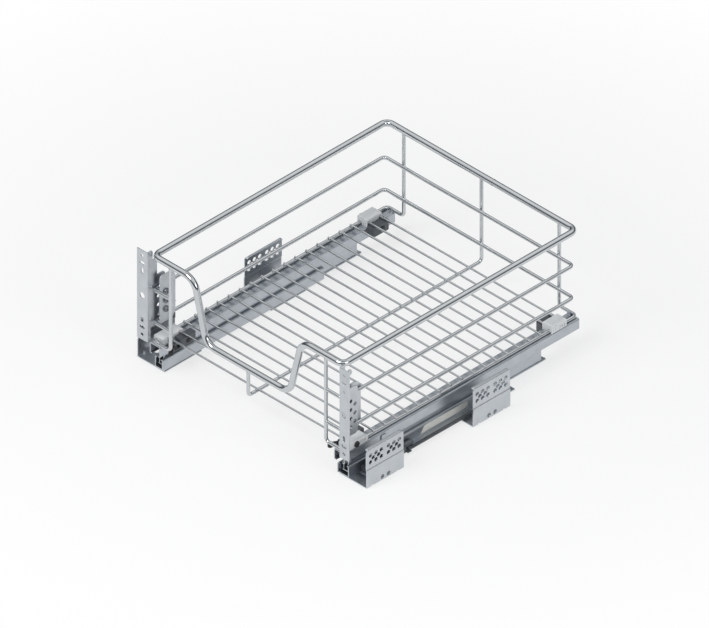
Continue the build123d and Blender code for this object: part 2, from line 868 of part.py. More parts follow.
def clips():
    """The four corner clips with their adjusters, and the catches of the rails."""
    bore = side_wheel_axle + 2 * running_gap
    bore_length = side_wheel_axle_length + 3 * running_gap
    axle_bore = peg((clip_outer, *side_wheel_place), bore, bore_length, (1, 0, 0))
    save_pair("front_clip", wire_clip(front_clip_span, front_clip_top, front_clip_grooves) - axle_bore)
    save_pair("rear_clip", wire_clip(rear_clip_span, rear_clip_top, rear_clip_grooves) + rear_boss())
    save_pair("front_adjuster_housing", adjuster_housing(front_adjuster_place, True))
    save_pair("rear_adjuster_housing", adjuster_housing(rear_adjuster_place, False))
    save_pair("front_adjuster_wheel", adjuster_wheel(front_adjuster_place))
    save_pair("rear_adjuster_wheel", adjuster_wheel(rear_adjuster_place))
    save_pair("release_lever", release_lever())
    save_pair("side_wheel", side_wheel())
    save_pair("rear_hook", rear_hook())


def spring_post_place(end):
    """Middle of the front (-1) or rear (1) post, inside the bend of the hook there."""
    axis_x, _ = spring_axis
    coil_end = spring_front + spring_length * (1 + end) / 2
    return axis_x + end * (hook_offset - hook_bend), coil_end + end * (hook_shank + hook_slack)


def spring_post(end, foot):
    """Headed post that a hook of the spring is slipped over."""
    x, y = spring_post_place(end)
    hook_level = spring_axis[1] + (spring_diameter - spring_wire) / 2
    neck_top = hook_level + spring_wire / 2 + running_gap
    upright = (0, 0, 1)
    neck = peg((x, y, (foot + neck_top) / 2), post_diameter, neck_top - foot, upright)
    head_middle = (x, y, neck_top + post_head_height / 2)
    return neck + peg(head_middle, post_head_diameter, post_head_height, upright)


def closer_spring():
    """Tension spring, its close turns as a plain round bar with an open hook at each end."""
    axis_x, axis_z = spring_axis
    middle = (axis_x, spring_front + spring_length / 2, axis_z)
    spring = peg(middle, spring_diameter, spring_length, (0, 1, 0))
    hook_level = axis_z + (spring_diameter - spring_wire) / 2
    for end in (-1, 1):
        coil_end = spring_front + spring_length * (1 + end) / 2
        root = Vector(axis_x + end * hook_offset, coil_end - end * hook_root, hook_level)
        bend = root + Vector(0, end * (hook_root + hook_shank), 0)
        far = bend - Vector(2 * end * hook_bend, 0, 0)
        tip = far - Vector(0, end * hook_tip, 0)
        path = Wire([Line(root, bend), TangentArc(bend, far, tangent=(0, end, 0)), Line(far, tip)])
        spring += wire_along(path, spring_wire)
    return spring


def closer_housing():
    """Moulded trough in which the catch runs, and a shoulder with the spring's front post."""
    axis_x, axis_z = closer_axis
    front, back = closer_trough
    bottom = 2 * sheet_thickness
    right = axis_x + closer_half_width
    trough = block((axis_x - closer_half_width, right), closer_trough, (bottom, closer_trough_top))
    long_edges = trough.edges().filter_by(Axis.Y).group_by(Axis.Z)[-1]
    trough = fillet(long_edges.sort_by(Axis.X)[0], closer_edge_radius)
    outline = Polygon(
        (right - shoulder_overlap, front),
        (shoulder_edge, front),
        (shoulder_edge, shoulder_back),
        (right + damper_gap, shoulder_back),
        (right + damper_gap, back),
        (right - shoulder_overlap, back),
        align=None,
    )
    outline = fillet(outline.vertices().group_by(Axis.X)[-1], shoulder_corner_radius)
    shoulder = Pos(0, 0, bottom) * extrude(outline, amount=shoulder_top - bottom)
    top_edges = shoulder.edges().filter_by(Axis.Y).group_by(Axis.Z)[-1]
    shoulder = fillet(top_edges.sort_by(Axis.X)[-1], closer_edge_radius)
    half_groove = shoulder_groove_width / 2
    for place in shoulder_grooves:
        shoulder -= block(
            (shoulder_edge - shoulder_groove_depth, shoulder_edge + 1),
            (place - half_groove, place + half_groove),
            (bottom + trough_wall, shoulder_top + 1),
        )
    post_x, post_y = spring_post_place(-1)
    reach = post_seat_half_width
    seat = (bottom, post_seat_top)
    tail = block((post_x - reach, post_x + reach), (shoulder_back - 1, post_y + reach / 2), seat)
    body = trough + shoulder + tail + spring_post(-1, post_seat_top)
    inside = catch_half_width + catch_cover_gap
    body -= block(
        (axis_x - inside, axis_x + inside),
        (front + trough_end, back - trough_end),
        (bottom + trough_wall, closer_trough_top - trough_cover),
    )
    body -= block(
        (axis_x - trough_slot_half_width, axis_x + trough_slot_half_width),
        (trough_slot_front, back - trough_end),
        (axis_z, closer_trough_top + 1),
    )
    rod_bore = damper_rod_diameter + 2 * rod_gap
    return body - peg((axis_x, back, axis_z), rod_bore, catch_length, (0, 1, 0))


def damper():
    """Damper cylinder behind the trough, bored for its rod."""
    axis_x, axis_z = closer_axis
    front = closer_trough[1]
    length = damper_back - front
    body = peg((axis_x, front + length / 2, axis_z), damper_diameter, length, (0, 1, 0))
    body = fillet(body.edges().group_by(Axis.Y)[-1], closer_edge_radius)
    depth = damper_rod_length + 2
    rod_bore = damper_rod_diameter + 2 * rod_gap
    return body - peg((axis_x, front + depth / 2, axis_z), rod_bore, depth, (0, 1, 0))


def catch():
    """Sliding catch with an upright peg, and the rod that runs into the damper."""
    axis_x, axis_z = closer_axis
    bottom = axis_z - catch_half_height
    top = closer_trough_top - trough_cover - catch_cover_gap
    front = catch_back - catch_length
    body = block(
        (axis_x - catch_half_width, axis_x + catch_half_width), (front, catch_back), (bottom, top)
    )
    peg_front = front + catch_peg_front
    body += block(
        (axis_x - catch_peg_half_width, axis_x + catch_peg_half_width),
        (peg_front, peg_front + catch_peg_length),
        (top - 1, catch_peg_top),
    )
    rod_front = catch_back - 2
    rod_middle = (axis_x, rod_front + (damper_rod_length + 2) / 2, axis_z)
    return body + peg(rod_middle, damper_rod_diameter, damper_rod_length + 2, (0, 1, 0))


def activator():
    """Tab on the basket rail that stands over the peg of the catch."""
    axis_x, _ = closer_axis
    half = sheet_thickness / 2
    wall = slide_centre + basket_rail_half_width + half
    tab = catch_peg_top + activator_clearance + half
    section = folded([
        (wall, basket_rail_top - activator_drop),
        (wall, tab),
        (axis_x + activator_reach, tab),
    ], bend=activator_bend_radius)
    return along_y(section, catch_back - catch_length, catch_back)


def closers():
    """Soft closers of both slides, with their springs."""
    save_pair("closer_housing", closer_housing())
    save_pair("damper", damper())
    save_pair("catch", catch())
    save_pair("activator", activator())
    spring = closer_spring()
    save("closer_springs", Compound(children=[spring, mirror(spring, about=Plane.YZ)]))


os.makedirs("parts", exist_ok=True)
wirework()
slides()
for bracket_name, bracket_front in bracket_fronts.items():
    save_pair(f"{bracket_name}_cabinet_bracket", cabinet_bracket(bracket_front))
save_pair("bracket_rivets", Compound(children=rivet_bodies()))
door_fixings()
clips()
closers()
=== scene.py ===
import bmesh
import bpy
import math
from mathutils import Matrix, Vector


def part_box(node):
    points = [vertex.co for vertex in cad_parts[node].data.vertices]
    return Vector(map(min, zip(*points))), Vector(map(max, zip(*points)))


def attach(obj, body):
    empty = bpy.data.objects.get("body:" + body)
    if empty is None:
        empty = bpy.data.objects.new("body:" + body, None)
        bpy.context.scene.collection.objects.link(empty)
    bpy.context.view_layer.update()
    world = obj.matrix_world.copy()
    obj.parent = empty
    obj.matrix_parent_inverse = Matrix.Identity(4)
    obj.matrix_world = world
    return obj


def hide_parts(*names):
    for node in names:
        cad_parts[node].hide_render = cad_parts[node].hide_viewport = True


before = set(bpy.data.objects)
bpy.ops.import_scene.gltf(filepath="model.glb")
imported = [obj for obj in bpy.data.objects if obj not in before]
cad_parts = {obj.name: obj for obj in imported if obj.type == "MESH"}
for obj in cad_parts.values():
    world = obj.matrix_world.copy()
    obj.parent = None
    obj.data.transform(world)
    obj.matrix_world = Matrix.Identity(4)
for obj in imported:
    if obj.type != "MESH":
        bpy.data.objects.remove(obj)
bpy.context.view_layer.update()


# Camera
# A true isometric view from the front right, as in the line drawing, so lines that
# are parallel on the object stay parallel. Sizes are in millimetres, and Y counts
# from the front run of the rim, which lies right above that of the side wires.
MM = 0.001
wire_radius = 2.5
rim_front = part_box("upper_side_wire")[0].y + wire_radius * MM
picture_width = 709
pixels_per_mm = 0.785
view_middle = (12.4, 179.0, 90.0)
camera_distance = 2500
camera_data = bpy.data.cameras.new("isometric_camera")
camera_data.type = "ORTHO"
camera_data.ortho_scale = picture_width / pixels_per_mm * MM
camera_data.clip_start = 10 * MM
camera_data.clip_end = 20000 * MM
camera = bpy.data.objects.new("isometric_camera", camera_data)
bpy.context.scene.collection.objects.link(camera)
camera_back = Vector((1, -1, 1)).normalized()
camera.location = Vector(view_middle) * MM + Vector((0, rim_front, 0)) + camera_back * camera_distance * MM
camera.rotation_mode = "QUATERNION"
camera.rotation_quaternion = (-camera_back).to_track_quat("-Z", "Y")
bpy.context.scene.camera = camera
bpy.context.scene.view_settings.view_transform = "Standard"


# Studio
# A pale paper floor that fades to white and two soft lamps, in a grey room with a
# ring of white panels high up, which polished metal shows as bright and dark lines.
floor_half_width = 6000
floor_gap = 0.2                # between the paper and the feet of the brackets
fade_start = 450
fade_end = 900
paper_glow = 0.66              # share of plain white in the paper before the fade
air_strength = 0.62
# Height on the wall, from 0 at the horizon to 1 straight up, and the shade there
wall_shades = (
    (0.0, "#8f9397"),
    (0.05, "#4a4d50"),
    (0.32, "#55585c"),
    (0.5, "#9fa3a7"),
    (0.74, "#ffffff"),
    (0.86, "#ffffff"),
    (0.95, "#a4a8ac"),
)


def srgb(code):
    """Linear colour of an sRGB hex value."""
    parts = [int(code[i:i + 2], 16) / 255 for i in (1, 3, 5)]
    linear = [c / 12.92 if c <= 0.04045 else ((c + 0.055) / 1.055) ** 2.4 for c in parts]
    return (*linear, 1.0)


def add(tree, kind, inputs=None, **settings):
    """Adds one node with its settings, and its inputs as values or as links from sockets.

    Inputs go by name, or by number where a node has several of the same name: on a Mix
    node 0 is the factor, 2 and 3 are its numbers, and 6 and 7 its colours.
    """
    node = tree.nodes.new(kind)
    for name, value in settings.items():
        setattr(node, name, value)
    for name, value in (inputs or {}).items():
        if isinstance(value, bpy.types.NodeSocket):
            tree.links.new(value, node.inputs[name])
        else:
            node.inputs[name].default_value = value
    return node


def seen_as_background(tree):
    """One for camera, glossy and transmission rays, and nought for the others."""
    path = add(tree, "ShaderNodeLightPath")
    seen = path.outputs["Is Camera Ray"]
    for other in ("Is Glossy Ray", "Is Transmission Ray"):
        either = add(tree, "ShaderNodeMath", {0: seen, 1: path.outputs[other]}, operation="MAXIMUM")
        seen = either.outputs[0]
    return seen


def studio_walls(tree):
    """Grey walls, white panels above them and a grey ceiling, and plain white straight to the camera."""
    place = add(tree, "ShaderNodeTexCoord")
    height = add(tree, "ShaderNodeSeparateXYZ", {"Vector": place.outputs["Generated"]})
    walls = add(tree, "ShaderNodeValToRGB", {"Fac": height.outputs["Z"]})
    bands = walls.color_ramp.elements
    while len(bands) < len(wall_shades):
        bands.new(1.0)
    for band, (level, shade) in zip(bands, wall_shades):
        band.position = level
        band.color = srgb(shade)
    path = add(tree, "ShaderNodeLightPath")
    shown = {0: path.outputs["Is Camera Ray"], 6: walls.outputs[0], 7: srgb("#ffffff")}
    return add(tree, "ShaderNodeMix", shown, data_type="RGBA").outputs[2]


def empty_material(name):
    """New material and its node tree, with no nodes yet."""
    material = bpy.data.materials.new(name)
    material.use_nodes = True
    material.node_tree.nodes.clear()
    return material, material.node_tree


def white_paper():
    """Matt white paper sweep that keeps the shadow of the object and fades to white further out."""
    material, tree = empty_material("white_paper_sweep")
    paper = add(tree, "ShaderNodeBsdfDiffuse", {"Color": srgb("#f4f4f3")})
    glow = add(tree, "ShaderNodeEmission", {"Color": srgb("#ffffff"), "Strength": 1.0})
    place = add(tree, "ShaderNodeTexCoord")
    reach = add(tree, "ShaderNodeVectorMath", {0: place.outputs["Object"]}, operation="LENGTH")
    fade = add(tree, "ShaderNodeMapRange", {
        "Value": reach.outputs["Value"],
        "From Min": fade_start * MM,
        "From Max": fade_end * MM,
        "To Min": paper_glow,
        "To Max": 1.0,
    })
    share = add(tree, "ShaderNodeMath", {0: seen_as_background(tree), 1: fade.outputs[0]},
                operation="MULTIPLY")
    mixed = add(tree, "ShaderNodeMixShader", {0: share.outputs[0], 1: paper.outputs[0], 2: glow.outputs[0]})
    add(tree, "ShaderNodeOutputMaterial", {"Surface": mixed.outputs[0]})
    return material


floor_mesh = bpy.data.meshes.new("paper_floor")
sheet = bmesh.new()
bmesh.ops.create_grid(sheet, x_segments=2, y_segments=2, size=floor_half_width * MM)
bmesh.ops.translate(sheet, verts=sheet.verts, vec=(0, 0, -floor_gap * MM))
sheet.to_mesh(floor_mesh)
sheet.free()
floor_mesh.materials.append(white_paper())
floor = bpy.data.objects.new("paper_floor", floor_mesh)
bpy.context.scene.collection.objects.link(floor)

room = bpy.data.worlds.new("studio_room")
bpy.context.scene.world = room
room.use_nodes = True
room_tree = room.node_tree
room_tree.nodes.clear()
seen_walls = add(room_tree, "ShaderNodeBackground", {"Color": studio_walls(room_tree), "Strength": 1.0})
soft_air = add(room_tree, "ShaderNodeBackground", {"Color": srgb("#eef1f4"), "Strength": air_strength})
air_or_walls = {0: seen_as_background(room_tree), 1: soft_air.outputs[0], 2: seen_walls.outputs[0]}
room_light = add(room_tree, "ShaderNodeMixShader", air_or_walls)
add(room_tree, "ShaderNodeOutputWorld", {"Surface": room_light.outputs[0]})


def soft_lamp(name, place, size, watts):
    """Square softbox that points at the basket."""
    lamp = bpy.data.lights.new(name, "AREA")
    lamp.size = size * MM
    lamp.energy = watts
    holder = bpy.data.objects.new(name, lamp)
    holder.location = Vector(place) * MM
    holder.rotation_mode = "QUATERNION"
    holder.rotation_quaternion = Vector(place).to_track_quat("Z", "Y")
    bpy.context.scene.collection.objects.link(holder)


soft_lamp("key_softbox", place=(-150, -1500, 1850), size=1000, watts=22)
soft_lamp("side_softbox", place=(1800, -300, 1100), size=900, watts=9)


# Basket wirework
# Round steel wire, resistance-welded where it crosses, polished and chromium
# plated after welding: bright, with a faint unevenness that follows the drawing.
def mottle(tree, size, detail, stretch=(1, 1, 1)):
    """Uneven pattern on Object coordinates, whose patches have a real size."""
    place = add(tree, "ShaderNodeTexCoord")
    stretched = add(tree, "ShaderNodeMapping", {"Vector": place.outputs["Object"], "Scale": stretch})
    patches = {"Vector": stretched.outputs[0], "Scale": 1 / (size * MM), "Detail": detail}
    return add(tree, "ShaderNodeTexNoise", patches).outputs[0]


def relief(tree, height, depth, strength, edge=0.0):
    """Normal of a bump of a real depth, over edges that may be slightly rounded."""
    inputs = {"Height": height, "Distance": depth * MM, "Strength": strength}
    if edge:
        rounded = add(tree, "ShaderNodeBevel", {"Radius": edge * MM}, samples=4)
        inputs["Normal"] = rounded.outputs[0]
    return add(tree, "ShaderNodeBump", inputs).outputs[0]


def chromium_plate():
    """Chromium plate on drawn wire: mirror-like, with soft long waves and faint haze."""
    material, tree = empty_material("chromium_plate_on_drawn_wire")
    haze = mottle(tree, size=22, detail=3.0)
    wave = mottle(tree, size=5, detail=2.0)
    tone = add(tree, "ShaderNodeMix", {0: haze, 6: srgb("#cdd0d2"), 7: srgb("#c0c3c6")}, data_type="RGBA")
    rough = add(tree, "ShaderNodeMapRange", {"Value": haze, "To Min": 0.07, "To Max": 0.2})
    shader = add(tree, "ShaderNodeBsdfPrincipled", {
        "Metallic": 1.0,
        "Base Color": tone.outputs[2],
        "Roughness": rough.outputs[0],
        "Normal": relief(tree, wave, depth=0.05, strength=0.15),
    })
    add(tree, "ShaderNodeOutputMaterial", {"Surface": shader.outputs[0]})
    return material


def coat(material, *names):
    """Gives CAD nodes their material."""
    for name in names:
        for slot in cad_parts[name].material_slots:
            slot.material = material


plated_wire = chromium_plate()
coat(plated_wire, "rim", "centre_wire", "upper_side_wire", "lower_side_wire", "floor_wires",
     "side_hoop_left", "side_hoop_right")


# Weld beads
# Welding squeezes a little steel out where two wires meet. It stays as a low
# collar round each spot, under the same plating.
# Places of the wires, and of the spots where they meet
hoop_x = 170.2
post_x = 140.0
back_y = 420.3
rim_under_z = 174.6
dip_under_z = 83.6
side_wire_z = (76.0, 126.3)
first_floor_wire = 15.0
floor_wire_pitch = 20.0
floor_wire_count = 20
crossing_z = 48.35
butt_sink = 0.2                # how deep the middle of a butt bead lies in the post
butt_x = post_x + wire_radius - butt_sink
# Half the size of each kind of bead along X, Y and Z
crossing_bead = (1.9, 1.5, 0.8)
back_bead = (1.6, 0.9, 1.6)
butt_bead = (1.1, 2.9, 2.9)
rim_bead = (3.0, 3.0, 1.3)


def as_piece(mesh, name, body, material, crease=math.radians(35)):
    """Object from a mesh in millimetres with Y from the rim's front run, riding on a body."""
    bmesh.ops.scale(mesh, verts=mesh.verts, vec=(MM, MM, MM))
    bmesh.ops.translate(mesh, verts=mesh.verts, vec=(0, rim_front, 0))
    for face in mesh.faces:
        face.smooth = True
    for edge in mesh.edges:
        if len(edge.link_faces) == 2 and edge.calc_face_angle() > crease:
            edge.smooth = False
    data = bpy.data.meshes.new(name)
    mesh.to_mesh(data)
    mesh.free()
    data.materials.append(material)
    made = bpy.data.objects.new(name, data)
    bpy.context.scene.collection.objects.link(made)
    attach(made, body)
    return made


floor_wire_y = [first_floor_wire + floor_wire_pitch * number for number in range(floor_wire_count)]
beads = [((x, y, crossing_z), crossing_bead) for x in (-hoop_x, 0, hoop_x) for y in floor_wire_y]
beads += [((x, back_y - wire_radius, z), back_bead) for x in (-post_x, 0, post_x) for z in side_wire_z]
beads += [((x, 0, z), butt_bead) for x in (-butt_x, butt_x) for z in side_wire_z]
beads += [((x, back_y, rim_under_z), rim_bead) for x in (-post_x, 0, post_x)]
beads += [((x, 0, rim_under_z), rim_bead) for x in (-post_x, post_x)]
beads += [((0, 0, dip_under_z), rim_bead)]
bead_mesh = bmesh.new()
for place, half_sizes in beads:
    shape = Matrix.Translation(place) @ Matrix.Diagonal((*half_sizes, 1))
    bmesh.ops.create_uvsphere(bead_mesh, u_segments=12, v_segments=7, radius=1, matrix=shape)
as_piece(bead_mesh, "weld_beads", "basket", plated_wire, crease=math.pi)


# Rails and hooks
# Cold-rolled strip, roll-formed and zinc plated: dull silver, with fine lines
# along the rolling direction, cloudy passivation and edges painted brighter, partly as rubbed bare metal
# and partly as a painted highlight.
SIDES = {"left": -1, "right": 1}


def zinc_plated_strip(name, light, dark, along, edge):
    """Zinc plate over rolled or pressed sheet, with lines that run along one axis.

    The real lines are about 0.1 mm apart and are drawn wider, so that they show.
    """
    material, tree = empty_material(name)
    cloud = mottle(tree, size=14, detail=4.0)
    lines = mottle(tree, size=0.6, detail=2.0, stretch=along)
    # Edges found by the rounded normal are painted brighter: partly rubbed bare metal, partly a painted
    # highlight
    rounded = add(tree, "ShaderNodeBevel", {"Radius": 2 * edge * MM}, samples=4)
    flat = add(tree, "ShaderNodeNewGeometry")
    agreement = add(tree, "ShaderNodeVectorMath", {0: rounded.outputs[0], 1: flat.outputs["Normal"]},
                    operation="DOT_PRODUCT")
    rubbed_and_highlit_edge = add(tree, "ShaderNodeMapRange", {
        "Value": agreement.outputs["Value"],
        "From Min": 1.0,
        "From Max": 0.86,            # cosine of the bend at which an edge is fully rubbed bare and painted as a highlight
        "To Min": 0.0,
        "To Max": 0.75,              # share of bare metal and painted highlight there
    })
    plate = add(tree, "ShaderNodeMix", {0: cloud, 6: srgb(light), 7: srgb(dark)}, data_type="RGBA")
    # Bright edge colour, standing partly for rubbed wear and partly for a painted highlight
    bare_and_highlit_edge = {0: rubbed_and_highlit_edge.outputs[0], 6: plate.outputs[2], 7: srgb("#e3e5e7")}
    tone = add(tree, "ShaderNodeMix", bare_and_highlit_edge, data_type="RGBA")
    clouds_and_lines = add(tree, "ShaderNodeMix", {0: 0.4, 2: cloud, 3: lines})
    rough = add(tree, "ShaderNodeMapRange", {
        "Value": clouds_and_lines.outputs[0],
        "To Min": 0.26,
        "To Max": 0.46,
    })
    shader = add(tree, "ShaderNodeBsdfPrincipled", {
        "Metallic": 1.0,
        "Base Color": tone.outputs[2],
        "Roughness": rough.outputs[0],
        "Normal": relief(tree, lines, depth=0.02, strength=0.35, edge=edge),
    })
    add(tree, "ShaderNodeOutputMaterial", {"Surface": shader.outputs[0]})
    return material


rail_finish = zinc_plated_strip("zinc_plated_rolled_strip", "#c3c8cd", "#aab0b7",
                                along=(1, 0.03, 1), edge=0.25)
for side in SIDES:
    coat(rail_finish, f"cabinet_rail_{side}", f"middle_rail_{side}", f"basket_rail_{side}",
         f"activator_{side}", f"rear_hook_{side}")


# Brackets
# Pressed zinc-plated sheet: the cabinet brackets, the door brackets and the
# clamp plates, brighter than the rails and lined the other way.
bracket_finish = zinc_plated_strip("zinc_plated_pressed_sheet", "#cdd1d5", "#b9bec3",
                                   along=(1, 1, 0.04), edge=0.3)
for side in SIDES:
    coat(bracket_finish, f"front_cabinet_bracket_{side}", f"rear_cabinet_bracket_{side}",
         f"door_bracket_{side}", f"clamp_plate_{side}")


# Clamp screws and rivets
# Pan-head screws with a cross recess draw the clamp plates against the wires, three
# on each side. They are cold-headed from steel wire and nickel plated, and so are
# the rivets that hold the cabinet brackets to the rails.
head_seat_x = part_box("clamp_plate_right")[0].x / MM      # the inner face of the plate
screw_head_radius = 4.5
screw_head_height = 3.2
screw_shank_radius = 2.5
screw_shank_length = 8.0
shank_chamfer = 0.6
screw_steps = 24
screw_outline = (
    (0, -screw_shank_length),
    (screw_shank_radius - shank_chamfer, -screw_shank_length),
    (screw_shank_radius, -screw_shank_length + shank_chamfer),
    (screw_shank_radius, 0),
    (screw_head_radius, 0),
    (screw_head_radius, 1.0),
    (screw_head_radius - 0.3, 1.9),
    (screw_head_radius - 1.1, 2.8),
    (screw_head_radius - 2.1, screw_head_height),
)
recess_margin = 0.2
recess_arm = 1.8
recess_half_width = 0.42
recess_depth = 1.5
recess_taper = 0.7                   # size of the recess at its bottom, as a share of its mouth
recess_turns = (-0.2, 0.3, 0.8)      # how far each screw of a row happens to be turned


def bright_steel(name, light, dark, smoothest):
    """Plain bright steel with the fine marks of turning, grinding or drawing.

    The real marks are about 0.1 mm apart and are drawn coarser, so that they show.
    """
    material, tree = empty_material(name)
    marks = mottle(tree, size=1.2, detail=3.0)
    tone = add(tree, "ShaderNodeMix", {0: marks, 6: srgb(light), 7: srgb(dark)}, data_type="RGBA")
    rough = add(tree, "ShaderNodeMapRange", {
        "Value": marks,
        "To Min": smoothest,
        "To Max": smoothest + 0.15,
    })
    shader = add(tree, "ShaderNodeBsdfPrincipled", {
        "Metallic": 1.0,
        "Base Color": tone.outputs[2],
        "Roughness": rough.outputs[0],
        "Normal": relief(tree, marks, depth=0.02, strength=0.3),
    })
    add(tree, "ShaderNodeOutputMaterial", {"Surface": shader.outputs[0]})
    return material


def sunk(mesh, face, depth, taper):
    """Pushes one face in along Z, narrower at the bottom."""
    bottom = bmesh.ops.extrude_discrete_faces(mesh, faces=[face])["faces"][0]
    bmesh.ops.scale(mesh, verts=bottom.verts, vec=(taper, taper, 1))
    bmesh.ops.translate(mesh, verts=bottom.verts, vec=(0, 0, -depth))


def pan_head_screw():
    """Mesh of one screw with its head up, and the underside of the head at nought."""
    mesh = bmesh.new()
    points = [mesh.verts.new((radius, 0, height)) for radius, height in screw_outline]
    edges = [mesh.edges.new(pair) for pair in zip(points, points[1:])]
    bmesh.ops.spin(mesh, geom=points + edges, cent=(0, 0, 0), axis=(0, 0, 1), dvec=(0, 0, 0),
                   angle=2 * math.pi, steps=screw_steps, use_merge=True, use_duplicate=False)
    bmesh.ops.remove_doubles(mesh, verts=mesh.verts, dist=0.001)
    top_ring = [edge for edge in mesh.edges if edge.is_boundary]
    top = bmesh.ops.contextual_create(mesh, geom=top_ring)["faces"][0]
    bmesh.ops.inset_individual(mesh, faces=[top], thickness=recess_margin)
    # The corners inside the margin move onto the outline of a cross
    quarter = math.pi / 2
    for corner in top.verts:
        turn = math.atan2(corner.co.y, corner.co.x)
        off_arm = abs(turn - quarter * round(turn / quarter))
        reach = min(recess_arm, recess_half_width / max(math.sin(off_arm), 0.01))
        corner.co.x = reach * math.cos(turn)
        corner.co.y = reach * math.sin(turn)
    sunk(mesh, top, recess_depth, recess_taper)
    bmesh.ops.recalc_face_normals(mesh, faces=mesh.faces)
    data = bpy.data.meshes.new("one_screw")
    mesh.to_mesh(data)
    mesh.free()
    return data


screw_finish = bright_steel("nickel_plated_screw_steel", "#8e9195", "#74777c", smoothest=0.25)
one_screw = pan_head_screw()
for side, sign in SIDES.items():
    coat(screw_finish, f"bracket_rivets_{side}", f"clamp_screws_{side}")
    low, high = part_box(f"clamp_screws_{side}")
    middle = (low + high) / 2
    screw_pitch = (high.z - low.z) / MM / 2 - screw_head_radius      # of three screws in a row
    head_inwards = Matrix.Rotation(-sign * math.pi / 2, 4, "Y")
    screws = bmesh.new()
    for row, turn in zip((-1, 0, 1), recess_turns):
        seat = (sign * head_seat_x, (middle.y - rim_front) / MM, middle.z / MM + row * screw_pitch)
        placed = Matrix.Translation(seat) @ head_inwards @ Matrix.Rotation(turn, 4, "Z")
        before = len(screws.verts)
        screws.from_mesh(one_screw)
        screws.verts.ensure_lookup_table()
        bmesh.ops.transform(screws, matrix=placed, verts=screws.verts[before:])
    screw_set = as_piece(screws, f"cross_recess_screws_{side}", "basket", screw_finish)
    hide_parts(f"clamp_screws_{side}")
bpy.data.meshes.remove(one_screw)


# Rollers and cages
# Hard steel rollers, ground smooth, carry the rails. They run in long cages moulded
# from natural acetal, which is milky white and a little glossy.
def moulded(name, light, dark, smoothest, grain, depth, ior):
    """Injection-moulded plastic with a spark-eroded grain and slightly rounded edges.

    The real grain is about 0.1 mm and is drawn coarser, so that it shows.
    """
    material, tree = empty_material(name)
    cloud = mottle(tree, size=9, detail=3.0)
    grains = mottle(tree, size=grain, detail=4.0)
    tone = add(tree, "ShaderNodeMix", {0: cloud, 6: srgb(light), 7: srgb(dark)}, data_type="RGBA")
    rough = add(tree, "ShaderNodeMapRange", {
        "Value": grains,
        "To Min": smoothest,
        "To Max": smoothest + 0.16,
    })
    shader = add(tree, "ShaderNodeBsdfPrincipled", {
        "IOR": ior,
        "Base Color": tone.outputs[2],
        "Roughness": rough.outputs[0],
        "Normal": relief(tree, grains, depth=depth, strength=0.5, edge=0.35),
    })
    add(tree, "ShaderNodeOutputMaterial", {"Surface": shader.outputs[0]})
    return material


roller_finish = bright_steel("ground_roller_steel", "#c8cacd", "#b0b3b7", smoothest=0.15)
natural_acetal = moulded("natural_acetal", "#efeee8", "#e4e3dc",
                         smoothest=0.34, grain=0.6, depth=0.03, ior=1.48)
for side in SIDES:
    coat(roller_finish, f"lower_rollers_{side}", f"upper_rollers_{side}")
    coat(natural_acetal, f"lower_cage_{side}", f"upper_cage_{side}")


# Clips and adjusters
# Clips moulded from light grey nylon hold the hoops to the rails, with a satin skin.
# The adjusters inside the rails have housings of smoother dark acetal, and thumb
# wheels of black glass-filled nylon, whose fibres leave it dull.
light_nylon = moulded("light_grey_moulded_nylon", "#dfe0e1", "#d2d4d5",
                      smoothest=0.42, grain=0.7, depth=0.06, ior=1.53)
dark_acetal = moulded("dark_grey_acetal", "#54585d", "#484c50",
                      smoothest=0.36, grain=0.6, depth=0.04, ior=1.48)
black_nylon = moulded("black_glass_filled_nylon", "#242628", "#1a1b1d",
                      smoothest=0.45, grain=0.5, depth=0.06, ior=1.53)
for side in SIDES:
    coat(light_nylon, f"front_clip_{side}", f"rear_clip_{side}")
    coat(dark_acetal, f"front_adjuster_housing_{side}", f"rear_adjuster_housing_{side}")
    coat(black_nylon, f"front_adjuster_wheel_{side}", f"rear_adjuster_wheel_{side}")


# Side wheels
# Small black nylon wheels on the outside of the front clips: knurled round the
# edge, dished, with a slot for a screwdriver, on a short axle in the clip.
wheel_place = (175.0, 20.0, 48.0)
wheel_radius = 4.2
wheel_thickness = 2.4
wheel_teeth = 20
tooth_foot = 0.93                    # share of the radius
wheel_chamfer = 0.6
face_share = 0.86                    # of the radius, inside the chamfer
dish_margin = 0.5
dish_depth = 0.3
slot_margin = 0.5
slot_half_length = 2.0
slot_half_width = 0.4
slot_depth = 0.8
slot_taper = 0.9
slot_turn = 0.6
axle_radius = 1.2
axle_length = 1.6
axle_overlap = 0.05


